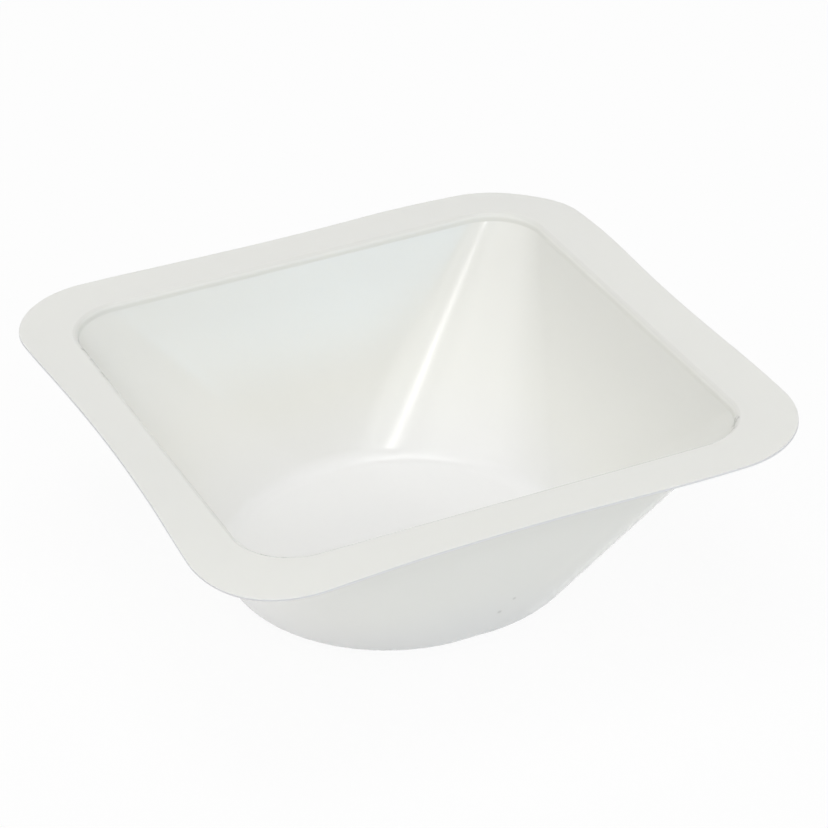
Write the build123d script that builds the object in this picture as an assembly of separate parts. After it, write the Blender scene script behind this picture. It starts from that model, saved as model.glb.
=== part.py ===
"""Square weighing boat, thermoformed from one thin plastic sheet: a flange, a short step under its rim,
and a well whose square mouth runs down to a round floor. The origin is under the middle of the flange,
at the level that the floor stands on; +X is right, +Y is back and +Z is up. Sizes are in millimetres."""

import os
from math import atan2, cos, pi, radians, sin, tan

from build123d import *

# The sheet, and the flange that its outline is die-cut from.
sheet = 0.35
flange_width = 85.0
flange_corner_radius = 13.0
side_bow = 0.75  # how far the middle of each side lies inside the line between its corners

# The mouth of the well. Its sharp edge is where the flange and the step would meet if the lip weren't round.
flange_reach = 7.25  # from the mouth's sharp edge out to the flange's full width
mouth_corner_radius = 8.0
lip_radius = 0.5  # on the sheet's underside; its top is rounder by the sheet
step_depth = 1.1
step_inset = 0.25

# The well below the step.
well_depth = 28.5  # from the flange's top to the floor's top
floor_radius = 24.0  # to the sharp corner between floor and wall
floor_shift = -0.9  # the floor's centre, along X from the mouth's centre
floor_fillet = 3.0  # inside the well
floor_flat = 0.5  # the straight stretch along which each flat wall meets the round floor

# How far the flange's free edge lies above or below the rim of the mouth: each side at its middle, kept over
# the level share of its length, and each corner. Both start at the right and go counter-clockwise.
level_share = 0.35
side_rise = (0.75, 0.1, 0.8, -0.25)  # right, back, left, front
corner_rise = (-0.9, 0.05, -1.2, 0.3)  # back right, back left, front left, front right

rim_height = sheet + well_depth
mouth_width = flange_width - 2 * flange_reach


def level_loop(width, radius, height, shift=0.0):
    """A rounded square of eight edges, a side and a corner by turns, counter-clockwise from the right."""
    half = width / 2
    straight = half - radius
    edges = []
    for quarter in range(4):
        place = Pos(shift, 0, height) * Rot(0, 0, 90 * quarter)
        edges.append(place * Edge.make_line((half, -straight), (half, straight)))
        edges.append(place * Pos(straight, straight) * Edge.make_circle(radius, start_angle=0, end_angle=90))
    return edges


def free_edge_rise(x, y):
    """How far the free edge lies above the rim, at a point of the flange's outline."""
    quarters = atan2(y, x) % (2 * pi) / (pi / 2)
    side = side_rise[round(quarters) % 4]
    corner = corner_rise[int(quarters)]
    off_middle = tan(abs(quarters - round(quarters)) * pi / 2)
    share = max(0.0, (off_middle - level_share) / (1 - level_share))
    return side + (corner - side) * share**2 * (3 - 2 * share)


def free_edge_loop(height):
    """The flange's bowed outline, about the given height, as the same eight edges as a level loop."""
    half = flange_width / 2
    radius = flange_corner_radius
    straight = half - radius
    side = [(half - side_bow * (1 - (n / 4) ** 2) ** 2, n / 4 * straight) for n in range(-4, 4)]
    turns = [radians(angle) for angle in range(0, 90, 15)]
    corner = [(straight + radius * cos(turn), straight + radius * sin(turn)) for turn in turns]
    points = []
    starts = []
    for quarter in range(4):
        for stretch in (side, corner):
            starts.append(len(points))
            for x, y in stretch:
                flat = Vector(x, y).rotate(Axis.Z, 90 * quarter)
                points.append(flat + Vector(0, 0, height + free_edge_rise(flat.X, flat.Y)))
    whole = Edge.make_spline(points, periodic=True)
    cuts = [whole.param_at_point(points[start]) for start in starts[1:]]
    return [whole.trim(begin, end) for begin, end in zip([0.0] + cuts, cuts + [1.0])]


def ruled_skin(loops):
    """The faces that join each loop to the next, edge by edge."""
    faces = []
    for upper, lower in zip(loops, loops[1:]):
        faces += [Face.make_surface_from_curves(a, b) for a, b in zip(upper, lower)]
    return faces


def round_loop(solid, loop, radius):
    """The solid with the edges that lie on one loop rounded."""
    middles = [edge.position_at(0.5) for edge in loop]
    on_loop = [e for e in solid.edges() if min((e.position_at(0.5) - m).length for m in middles) < 0.01]
    return fillet(on_loop, radius)


def weighing_boat():
    foot_width = mouth_width - 2 * step_inset
    foot_radius = mouth_corner_radius - step_inset
    foot_height = rim_height - step_depth
    floor_width = 2 * floor_radius
    floor_corner = floor_radius - floor_flat / 2
    # The underside's floor meets its walls this much further out, so that the flat walls keep the sheet's
    # thickness. The cone-like corners, drawn furthest from the mouth, come out thinner.
    wall_angle = atan2(well_depth - step_depth, foot_width / 2 - floor_radius)
    floor_growth = sheet * tan(wall_angle / 2)

    top = [
        free_edge_loop(rim_height),
        level_loop(mouth_width, mouth_corner_radius, rim_height),
        level_loop(foot_width, foot_radius, foot_height),
        level_loop(floor_width, floor_corner, sheet, floor_shift),
    ]
    underside = [
        free_edge_loop(rim_height - sheet),
        level_loop(mouth_width + 2 * sheet, mouth_corner_radius + sheet, rim_height - sheet),
        level_loop(foot_width + 2 * sheet, foot_radius + sheet, foot_height),
        level_loop(floor_width + 2 * floor_growth, floor_corner + floor_growth, 0, floor_shift),
    ]
    cut_edge = [top[0], underside[0]]
    floors = [Face(Wire(top[-1])), Face(Wire(underside[-1]))]
    boat = Solid(Shell(ruled_skin(top) + ruled_skin(underside) + ruled_skin(cut_edge) + floors))

    boat = round_loop(boat, top[3], floor_fillet)
    boat = round_loop(boat, underside[3], floor_fillet + sheet)
    boat = round_loop(boat, top[1], lip_radius + sheet)
    return round_loop(boat, underside[1], lip_radius)


os.makedirs("parts", exist_ok=True)
export_step(weighing_boat(), "parts/weighing_boat.step")
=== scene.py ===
import math

import bpy
from mathutils import Matrix, Vector


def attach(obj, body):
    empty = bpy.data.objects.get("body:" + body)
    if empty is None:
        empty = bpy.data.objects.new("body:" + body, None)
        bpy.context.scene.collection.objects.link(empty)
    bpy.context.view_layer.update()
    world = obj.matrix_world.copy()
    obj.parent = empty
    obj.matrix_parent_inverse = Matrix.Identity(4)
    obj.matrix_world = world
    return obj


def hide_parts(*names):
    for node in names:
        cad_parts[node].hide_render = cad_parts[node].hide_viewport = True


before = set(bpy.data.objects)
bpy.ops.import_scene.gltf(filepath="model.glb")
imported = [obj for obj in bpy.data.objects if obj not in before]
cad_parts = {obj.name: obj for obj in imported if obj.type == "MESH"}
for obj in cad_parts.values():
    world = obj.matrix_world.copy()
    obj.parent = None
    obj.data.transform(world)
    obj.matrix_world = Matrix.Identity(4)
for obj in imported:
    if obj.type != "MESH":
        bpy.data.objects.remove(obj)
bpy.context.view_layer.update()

mm = 0.001
print("frame loaded")


# The boat: one thermoformed sheet, drawn as its top skin and thickened downwards

boat = {
    "sheet": 0.35 * mm,
    "flangeWidth": 85.0 * mm,
    "flangeCornerRadius": 13.0 * mm,
    "sideBow": 0.75 * mm,          # how far the middle of a side lies inside its ends
    "mouthWidth": 70.5 * mm,       # to the sharp edge, before the lip is rounded
    "mouthCornerRadius": 8.0 * mm,
    "lipRadius": 0.85 * mm,
    "stepDepth": 1.1 * mm,
    "stepInset": 0.25 * mm,
    "footRadius": 0.35 * mm,       # the soft crease under the step
    "wellDepth": 28.5 * mm,
    "floorRadius": 24.0 * mm,
    "floorShift": -0.9 * mm,
    "floorFlat": 0.5 * mm,
    "floorFillet": 3.0 * mm,
    "levelShare": 0.35,            # how much of each side keeps its middle's height
    "sideRise": [0.75 * mm, 0.1 * mm, 0.8 * mm, -0.25 * mm],     # right, back, left, front
    # back right, back left, front left, front right
    "cornerRise": [-0.9 * mm, 0.05 * mm, -1.2 * mm, 0.3 * mm],
    "riseCurve": 1.5,              # above 1 the flange stays level near the mouth
    "cutBevel": 0.05 * mm,         # the die leaves the free edge barely broken
    "cutBevelFrom": 60,            # degrees: only edges sharper than this are broken
}
meshSteps = {
    "side": 28,                    # faces along each side
    "corner": 28,                  # faces round each corner
    "floor": 8,
    "floorFillet": 10,
    "wall": 26,
    "foot": 4,
    "step": 2,
    "lip": 10,
    "flange": 14,
    "cutBevel": 2,
}

rimHeight = boat["sheet"] + boat["wellDepth"]
footHeight = rimHeight - boat["stepDepth"]


def roundedSquarePoint(half, radius, quarter, corner, share):
    # share runs 0 to 1 along a side, or round the corner that follows it
    straight = half - radius
    if corner:
        angle = share * math.pi / 2
        flat = Vector((straight + radius * math.cos(angle), straight + radius * math.sin(angle)))
    else:
        flat = Vector((half, (2 * share - 1) * straight))
    return Matrix.Rotation(quarter * math.pi / 2, 2) @ flat


def freeEdgeRise(point):
    quarters = math.atan2(point.y, point.x) % (2 * math.pi) / (math.pi / 2)
    side = boat["sideRise"][round(quarters) % 4]
    corner = boat["cornerRise"][int(quarters) % 4]
    offMiddle = math.tan(abs(quarters - round(quarters)) * math.pi / 2)
    share = max(0.0, (offMiddle - boat["levelShare"]) / (1 - boat["levelShare"]))
    return side + (corner - side) * share ** 2 * (3 - 2 * share)


def roundCorner(before, corner, after, radius, steps):
    # points of the arc that rounds one corner of a flat profile
    towardsBefore = (before - corner).normalized()
    towardsAfter = (after - corner).normalized()
    opening = towardsBefore.angle(towardsAfter)
    setback = radius / math.tan(opening / 2)
    start = corner + towardsBefore * setback
    end = corner + towardsAfter * setback
    centre = corner + (towardsBefore + towardsAfter).normalized() * radius / math.sin(opening / 2)
    fromStart = start - centre
    fromEnd = end - centre
    sweep = fromStart.angle(fromEnd)
    points = []
    for step in range(steps + 1):
        share = step / steps
        weightStart = math.sin((1 - share) * sweep) / math.sin(sweep)
        weightEnd = math.sin(share * sweep) / math.sin(sweep)
        points.append(centre + fromStart * weightStart + fromEnd * weightEnd)
    return points


def between(start, end, steps):
    return [start.lerp(end, step / steps) for step in range(1, steps)]


def column(quarter, corner, share):
    # one line of points up the skin, from the floor's middle to the free edge
    half = boat["flangeWidth"] / 2
    floorPoint = roundedSquarePoint(
        boat["floorRadius"], boat["floorRadius"] - boat["floorFlat"] / 2, quarter, corner, share)
    floorPoint.x += boat["floorShift"]
    mouth = roundedSquarePoint(boat["mouthWidth"] / 2, boat["mouthCornerRadius"], quarter, corner, share)
    edge = roundedSquarePoint(half, boat["flangeCornerRadius"], quarter, corner, share)
    angle = quarter * math.pi / 2 + (share * math.pi / 2 if corner else 0)
    outward = Vector((math.cos(angle), math.sin(angle)))
    if not corner:
        edge -= outward * boat["sideBow"] * (1 - (2 * share - 1) ** 2) ** 2

    # the profile, as distance outward from the floor's sharp corner and height
    mouthOut = (mouth - floorPoint).dot(outward)
    edgeOut = (edge - floorPoint).dot(outward)
    floorCorner = Vector((0, boat["sheet"]))
    foot = Vector((mouthOut - boat["stepInset"], footHeight))
    lipCorner = Vector((mouthOut, rimHeight))
    floorMiddle = Vector((-boat["floorRadius"], boat["sheet"]))
    flangeEnd = Vector((edgeOut, rimHeight))
    fillet = roundCorner(floorMiddle, floorCorner, foot, boat["floorFillet"], meshSteps["floorFillet"])
    crease = roundCorner(floorCorner, foot, lipCorner, boat["footRadius"], meshSteps["foot"])
    lip = roundCorner(foot, lipCorner, flangeEnd, boat["lipRadius"], meshSteps["lip"])
    profile = fillet + between(fillet[-1], crease[0], meshSteps["wall"])
    profile += crease + between(crease[-1], lip[0], meshSteps["step"])
    profile += lip + between(lip[-1], flangeEnd, meshSteps["flange"]) + [flangeEnd]

    # what the sharp corners move sideways, across the outward direction
    mouthSideways = mouth - floorPoint - outward * mouthOut
    edgeSideways = edge - mouth - outward * (edgeOut - mouthOut)
    rise = freeEdgeRise(edge)
    points = []
    for out, height in profile:
        upWall = min(1, (height - boat["sheet"]) / (footHeight - boat["sheet"]))
        acrossFlange = max(0, (out - mouthOut) / (edgeOut - mouthOut))
        flat = floorPoint + outward * out + mouthSideways * upWall + edgeSideways * acrossFlange
        points.append(Vector((flat.x, flat.y, height + rise * acrossFlange ** boat["riseCurve"])))
    middle = Vector((boat["floorShift"], 0, boat["sheet"]))
    floorSteps = meshSteps["floor"]
    return [middle.lerp(points[0], step / floorSteps) for step in range(1, floorSteps)] + points


def makeBoat():
    columns = []
    for quarter in range(4):
        for corner, steps in ((False, meshSteps["side"]), (True, meshSteps["corner"])):
            columns += [column(quarter, corner, step / steps) for step in range(steps)]
    height = len(columns[0])
    vertices = [Vector((boat["floorShift"], 0, boat["sheet"]))]
    for line in columns:
        vertices += line
    faces = []
    for index in range(len(columns)):
        here = 1 + index * height
        there = 1 + (index + 1) % len(columns) * height
        faces.append((0, here, there))
        faces += [(here + up, here + up + 1, there + up + 1, there + up) for up in range(height - 1)]
    mesh = bpy.data.meshes.new("boatSkin")
    mesh.from_pydata(vertices, [], faces)
    mesh.shade_smooth()
    piece = bpy.data.objects.new("boatSkin", mesh)
    bpy.context.scene.collection.objects.link(piece)

    thicken = piece.modifiers.new("thickness", "SOLIDIFY")
    thicken.thickness = boat["sheet"]
    thicken.offset = -1           # the sheet grows downwards from the drawn skin
    thicken.use_even_offset = True
    thicken.material_offset_rim = 1    # the cut edge takes the second material
    bevel = piece.modifiers.new("cutEdge", "BEVEL")
    bevel.width = boat["cutBevel"]
    bevel.segments = meshSteps["cutBevel"]
    bevel.limit_method = "ANGLE"
    bevel.angle_limit = math.radians(boat["cutBevelFrom"])
    bevel.harden_normals = True
    return piece


# Short ways to add the nodes that both of the boat's finishes use

def newFinish(name):
    material = bpy.data.materials.new(name)
    material.use_nodes = True
    place = material.node_tree.nodes.new("ShaderNodeTexCoord")
    place.name = "place"
    return material


def feed(tree, socket, value):
    # a socket takes another node's output, or a plain number, colour or vector
    if isinstance(value, bpy.types.NodeSocket):
        tree.links.new(value, socket)
    else:
        socket.default_value = value


def cloud(tree, scale, detail):
    texture = tree.nodes.new("ShaderNodeTexNoise")
    texture.inputs["Scale"].default_value = scale
    texture.inputs["Detail"].default_value = detail
    feed(tree, texture.inputs["Vector"], tree.nodes["place"].outputs["Object"])
    return texture.outputs["Fac"]


def ramp(tree, value, start, end, low=0.0, high=1.0):
    spread = tree.nodes.new("ShaderNodeMapRange")
    for name, limit in (("From Min", start), ("From Max", end), ("To Min", low), ("To Max", high)):
        spread.inputs[name].default_value = limit
    feed(tree, spread.inputs["Value"], value)
    return spread.outputs["Result"]


def cloudyGloss(tree, look, scale, detail):
    # roughness that drifts a little each way from the look's own
    low = look["roughness"] - look["roughnessChange"]
    high = look["roughness"] + look["roughnessChange"]
    roughness = ramp(tree, cloud(tree, scale, detail), 0.0, 1.0, low, high)
    feed(tree, tree.nodes["Principled BSDF"].inputs["Roughness"], roughness)


def combine(tree, operation, first, *others):
    for other in others:
        node = tree.nodes.new("ShaderNodeMath")
        node.operation = operation
        feed(tree, node.inputs[0], first)
        feed(tree, node.inputs[1], other)
        first = node.outputs[0]
    return first


def blend(tree, first, second, amount):
    node = tree.nodes.new("ShaderNodeMix")
    node.data_type = "RGBA"
    for name, value in (("A", first), ("B", second), ("Factor", amount)):
        feed(tree, node.inputs[name], value)
    return node.outputs["Result"]


def vectorStep(tree, operation, vector, amount=(0, 0, 0)):
    node = tree.nodes.new("ShaderNodeVectorMath")
    node.operation = operation
    feed(tree, node.inputs[0], vector)
    node.inputs[1].default_value = amount
    return node.outputs["Value" if operation in ("LENGTH", "DISTANCE") else "Vector"]


def upward(tree, output):
    # the Z of the point's place or normal
    axes = tree.nodes.new("ShaderNodeSeparateXYZ")
    feed(tree, axes.inputs[0], tree.nodes["place"].outputs[output])
    return axes.outputs["Z"]


# The plastic: white polystyrene with a soft gloss

plastic = {
    "colour": (0.878, 0.878, 0.846, 1),
    "shadeColour": (0.86, 0.86, 0.83, 1),
    "paintedWellLightColour": (0.965, 0.965, 0.925, 1),    # painted light: lower in the well the sheet is coloured paler, standing in for light that comes through the thin walls and bounces round the well
    "paintedWellLightMottleColour": (0.945, 0.945, 0.91, 1),
    "paintedWellLightFrom": 24 * mm,          # above this height it keeps the flange's colour
    "roughness": 0.20,
    "roughnessChange": 0.03,
    "mottleScale": 40,             # cloudy shade: the noise is scaled to the metre
    "mottleDetail": 3,
    "smudgeScale": 90,             # cloudy gloss
    "smudgeDetail": 4,
    "bumpDepth": 0.003 * mm,
    "bumpStrength": 0.5,
    "rippleSize": 3.0 * mm,
    "rippleDetail": 2,
    "glowDepth": 0.3 * mm,         # how far light wanders inside the thin sheet
    "glowShare": 1.0,
}
# dark marks in one colour: real specks on the outside, and painted shade at the lip's corners and along
# its inner side
specksAndPaintedShade = {
    # plain numbers are millimetres: a mark's middle and its reach, and how far out over the lip
    # painted shade at the mouth's corners, where the lip hides the step in shadow
    "paintedCornerShade": [((-35.3, 25, 28.5), 1.8), ((-35.3, 21.5, 28.5), 1.9), ((-35.3, 17.5, 28.5), 1.6),
               ((-33.3, -32.9, 28.7), 1.5), ((-31.9, -33.9, 28.7), 1.6),
               ((33.8, -31.4, 28.3), 1.2), ((32.2, -33.2, 28.3), 1.3)],
    "paintedCornerShadeOut": 0.55,              # the marks of painted corner shade reach this far out over the mouth's edge
    "paintedCornerShadeFade": 0.15,             # and fade out over this much
    "paintedCornerShadeEdge": (0.0, 0.5),       # how quickly a mark darkens from its rim inwards
    "speckEdge": (0.1, 0.6),
    "paintedLipShade": (0.1, 0.5),         # painted shade: a faint darker line round the lip's inner side, where less light reaches, this far out
    "paintedLipShadeFade": 0.1,
    "paintedLipShadeStrength": 0.1,
    "sideFade": 0.1,               # keeps each mark on its own side of the sheet
    "specks": [((1.7, -26.35, 5.2), 0.45), ((3.5, -27.2, 7.3), 0.38)],
    "grain": 0.6 * mm,
    "grainDetail": 3,
    "grainGaps": (0.42, 0.6),      # where the noise is below the first the painted corner shade is broken
    # the colour of the specks and of the painted shade
    "colour": (0.42, 0.42, 0.40, 1),
    "paintedCornerShadeStrength": 0.75,
    "speckStrength": 0.3,
}


def outPastArcs(tree):
    # how far out a point lies from the middles of the mouth's corner arcs
    arcMiddle = boat["mouthWidth"] / 2 - boat["mouthCornerRadius"]
    flat = vectorStep(tree, "MULTIPLY", tree.nodes["place"].outputs["Object"], (1, 1, 0))
    flat = vectorStep(tree, "SUBTRACT", vectorStep(tree, "ABSOLUTE", flat), (arcMiddle, arcMiddle, 0))
    return vectorStep(tree, "LENGTH", vectorStep(tree, "MAXIMUM", flat))


def patches(tree, marks):
    # 1 at the middle of each mark, 0 from its reach outwards
    near = []
    for middle, reach in marks:
        centre = [size * mm for size in middle]
        away = vectorStep(tree, "DISTANCE", tree.nodes["place"].outputs["Object"], centre)
        near.append(ramp(tree, away, 0.0, reach * mm, 1.0, 0.0))
    return combine(tree, "MAXIMUM", *near)


def specksAndPaintedShadeShare(tree):
    # painted shade at the lip's corners and along the inside of the lip, and real specks on the outside
    out = outPastArcs(tree)
    edge = boat["mouthCornerRadius"]
    paintedCornerShadeEnd = edge + specksAndPaintedShade["paintedCornerShadeOut"] * mm
    underLip = ramp(tree, out, paintedCornerShadeEnd, paintedCornerShadeEnd - specksAndPaintedShade["paintedCornerShadeFade"] * mm)
    facing = upward(tree, "Normal")
    inside = ramp(tree, facing, 0.0, specksAndPaintedShade["sideFade"])
    outside = ramp(tree, facing, 0.0, -specksAndPaintedShade["sideFade"])

    broken = ramp(tree, cloud(tree, 1 / specksAndPaintedShade["grain"], specksAndPaintedShade["grainDetail"]), *specksAndPaintedShade["grainGaps"])
    # painted shade: dark marks at the lip's corners
    paintedCornerShade = ramp(tree, patches(tree, specksAndPaintedShade["paintedCornerShade"]), *specksAndPaintedShade["paintedCornerShadeEdge"])
    paintedCornerShade = combine(tree, "MULTIPLY", paintedCornerShade, underLip, broken, inside, specksAndPaintedShade["paintedCornerShadeStrength"])
    specks = ramp(tree, patches(tree, specksAndPaintedShade["specks"]), *specksAndPaintedShade["speckEdge"])
    specks = combine(tree, "MULTIPLY", specks, outside, specksAndPaintedShade["speckStrength"])

    # painted shade: a darker line along the inside of the lip
    lineStart, lineEnd = [edge + size * mm for size in specksAndPaintedShade["paintedLipShade"]]
    fade = specksAndPaintedShade["paintedLipShadeFade"] * mm
    paintedLipShade = ramp(tree, out, lineStart - fade, lineStart)
    lineOuter = ramp(tree, out, lineEnd + fade, lineEnd)
    paintedLipShade = combine(tree, "MULTIPLY", paintedLipShade, lineOuter, inside, specksAndPaintedShade["paintedLipShadeStrength"])
    return combine(tree, "MAXIMUM", paintedCornerShade, specks, paintedLipShade)


def makePlastic():
    material = newFinish("whitePolystyrene")
    tree = material.node_tree
    shader = tree.nodes["Principled BSDF"]
    mottle = cloud(tree, plastic["mottleScale"], plastic["mottleDetail"])
    shallow = blend(tree, plastic["colour"], plastic["shadeColour"], mottle)
    # painted light: the paler colour is blended in from the given height down to the floor
    paintedWellLight = blend(tree, plastic["paintedWellLightColour"], plastic["paintedWellLightMottleColour"], mottle)
    tint = blend(tree, shallow, paintedWellLight, ramp(tree, upward(tree, "Object"), plastic["paintedWellLightFrom"], 0.0))
    # the base colour carries the painted shade at the lip as well as the specks
    feed(tree, shader.inputs["Base Color"], blend(tree, tint, specksAndPaintedShade["colour"], specksAndPaintedShadeShare(tree)))
    cloudyGloss(tree, plastic, plastic["smudgeScale"], plastic["smudgeDetail"])

    shader.inputs["Subsurface Weight"].default_value = plastic["glowShare"]
    shader.inputs["Subsurface Radius"].default_value = (1, 1, 1)    # every colour wanders as far
    shader.inputs["Subsurface Scale"].default_value = plastic["glowDepth"]

    bump = tree.nodes.new("ShaderNodeBump")
    bump.inputs["Distance"].default_value = plastic["bumpDepth"]
    bump.inputs["Strength"].default_value = plastic["bumpStrength"]
    feed(tree, bump.inputs["Height"], cloud(tree, 1 / plastic["rippleSize"], plastic["rippleDetail"]))
    feed(tree, shader.inputs["Normal"], bump.outputs["Normal"])
    return material


# The cut edge: matt, and a little greyer, where the die went through the sheet

cutEdge = {
    "colour": (0.84, 0.84, 0.85, 1),
    "roughness": 0.5,
    "roughnessChange": 0.08,
    "grain": 0.4 * mm,
    "grainDetail": 2,
}


def makeCutEdge():
    material = newFinish("cutPolystyrene")
    tree = material.node_tree
    tree.nodes["Principled BSDF"].inputs["Base Color"].default_value = cutEdge["colour"]
    cloudyGloss(tree, cutEdge, 1 / cutEdge["grain"], cutEdge["grainDetail"])
    return material


skin = makeBoat()
skin.data.materials.append(makePlastic())
skin.data.materials.append(makeCutEdge())
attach(skin, "root")
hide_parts("weighing_boat")
print("boat made")


# The stage: a plain white floor that runs out of sight, and soft studio light

stage = {
    "floorHalfWidth": 3.0,
    "floorGap": 0.05 * mm,         # keeps the floor from touching the boat's underside
    "floorShade": 0.95,
    "floorRoughness": 0.9,
    "floorSpecular": 0.1,
    "floorGlow": 0.93,             # how much of the floor the camera sees as plain white
    "worldStrength": 0.36,
}
lamps = {
    # azimuth and elevation seen from the boat, distance, size, power, colour
    "keySoftbox": (-10, 55, 1.3, 1.5, 3.3, (1.0, 1.0, 0.995)),
    "overheadSoftbox": (170, 84, 1.0, 0.5, 2.1, (1.0, 1.0, 0.995)),
    "sideFill": (-80, 50, 1.2, 1.1, 2.6, (1.0, 1.0, 0.995)),
    "lowFill": (0, 12, 1.3, 1.0, 1.6, (0.95, 0.98, 1.0)),
    "coolGlow": (23, 10, 1.1, 0.18, 0.36, (0.4, 0.72, 1.0)),
    "spark": (-16, 40, 1.0, 0.055, 0.40, (1.0, 1.0, 1.0)),
}


def direction(azimuth, elevation):
    # azimuth 0 stands in front of the boat and 90 to its right
    turn = math.radians(azimuth)
    lift = math.radians(elevation)
    return Vector((math.sin(turn) * math.cos(lift), -math.cos(turn) * math.cos(lift), math.sin(lift)))


def cameraRays(tree):
    # 1 where the camera, a reflection or a clear surface looks straight at the material
    path = tree.nodes.new("ShaderNodeLightPath")
    total = path.outputs["Is Camera Ray"]
    for name in ("Is Glossy Ray", "Is Transmission Ray"):
        larger = tree.nodes.new("ShaderNodeMath")
        larger.operation = "MAXIMUM"
        tree.links.new(total, larger.inputs[0])
        tree.links.new(path.outputs[name], larger.inputs[1])
        total = larger.outputs[0]
    return total


def makeFloor():
    half = stage["floorHalfWidth"]
    mesh = bpy.data.meshes.new("studioFloor")
    level = -stage["floorGap"]
    corners = [(-half, -half, level), (half, -half, level), (half, half, level), (-half, half, level)]
    mesh.from_pydata(corners, [], [(0, 1, 2, 3)])
    floor = bpy.data.objects.new("studioFloor", mesh)
    bpy.context.scene.collection.objects.link(floor)
    material = bpy.data.materials.new("studioFloor")
    material.use_nodes = True
    nodes = material.node_tree.nodes
    links = material.node_tree.links
    shade = stage["floorShade"]
    shader = nodes["Principled BSDF"]
    shader.inputs["Base Color"].default_value = (shade, shade, shade, 1)
    shader.inputs["Roughness"].default_value = stage["floorRoughness"]
    shader.inputs["Specular IOR Level"].default_value = stage["floorSpecular"]
    glow = nodes.new("ShaderNodeEmission")
    share = nodes.new("ShaderNodeMath")
    share.operation = "MULTIPLY"
    share.inputs[1].default_value = stage["floorGlow"]
    links.new(cameraRays(material.node_tree), share.inputs[0])
    mix = nodes.new("ShaderNodeMixShader")
    links.new(share.outputs[0], mix.inputs["Fac"])
    links.new(shader.outputs[0], mix.inputs[1])
    links.new(glow.outputs[0], mix.inputs[2])
    links.new(mix.outputs[0], nodes["Material Output"].inputs["Surface"])
    mesh.materials.append(material)


def makeWorld():
    world = bpy.data.worlds.new("studio")
    bpy.context.scene.world = world
    world.use_nodes = True
    tree = world.node_tree
    background = tree.nodes["Background"]
    background.inputs["Color"].default_value = (1, 1, 1, 1)
    strength = tree.nodes.new("ShaderNodeMapRange")
    strength.inputs["To Min"].default_value = stage["worldStrength"]
    strength.inputs["To Max"].default_value = 1.0    # the camera sees the world as plain white
    tree.links.new(cameraRays(tree), strength.inputs["Value"])
    tree.links.new(strength.outputs["Result"], background.inputs["Strength"])


def makeLamps():
    target = Vector((0, 0, rimHeight / 2))
    for name, (azimuth, elevation, distance, size, power, colour) in lamps.items():
        data = bpy.data.lights.new(name, "AREA")
        data.size = size
        data.energy = power
        data.color = colour
        lamp = bpy.data.objects.new(name, data)
        bpy.context.scene.collection.objects.link(lamp)
        towards = direction(azimuth, elevation)
        lamp.location = target + towards * distance
        lamp.rotation_mode = "QUATERNION"
        lamp.rotation_quaternion = towards.to_track_quat("Z", "Y")


makeFloor()
makeWorld()
makeLamps()
print("stage and lamps made")


# The camera: a long lens, looking down into the well from the front left

view = {
    "azimuth": -24.3,
    "elevation": 31.2,
    "roll": -1.8,
    "distance": 470.7 * mm,
    "lens": 152.6,
    "sensorWidth": 36,
    "clipStart": 0.01,
    "offRight": -2.12 * mm,        # where the rim's middle lies from the view's middle
    "offUp": 5.78 * mm,
}


def makeCamera():
    data = bpy.data.cameras.new("camera")
    data.lens = view["lens"]
    data.sensor_width = view["sensorWidth"]
    data.clip_start = view["clipStart"]
    camera = bpy.data.objects.new("camera", data)
    bpy.context.scene.collection.objects.link(camera)
    back = direction(view["azimuth"], view["elevation"])
    turn = math.radians(view["azimuth"])
    right = Vector((math.cos(turn), math.sin(turn), 0))
    up = back.cross(right)
    roll = math.radians(view["roll"])
    rolledRight = right * math.cos(roll) + up * math.sin(roll)
    rolledUp = up * math.cos(roll) - right * math.sin(roll)
    rim = Vector((0, 0, rimHeight))
    place = rim - rolledRight * view["offRight"] - rolledUp * view["offUp"] + back * view["distance"]
    turned = Matrix((rolledRight, rolledUp, back)).transposed().to_4x4()
    camera.matrix_world = Matrix.Translation(place) @ turned
    bpy.context.scene.camera = camera


makeCamera()
bpy.context.scene.view_settings.view_transform = "Standard"
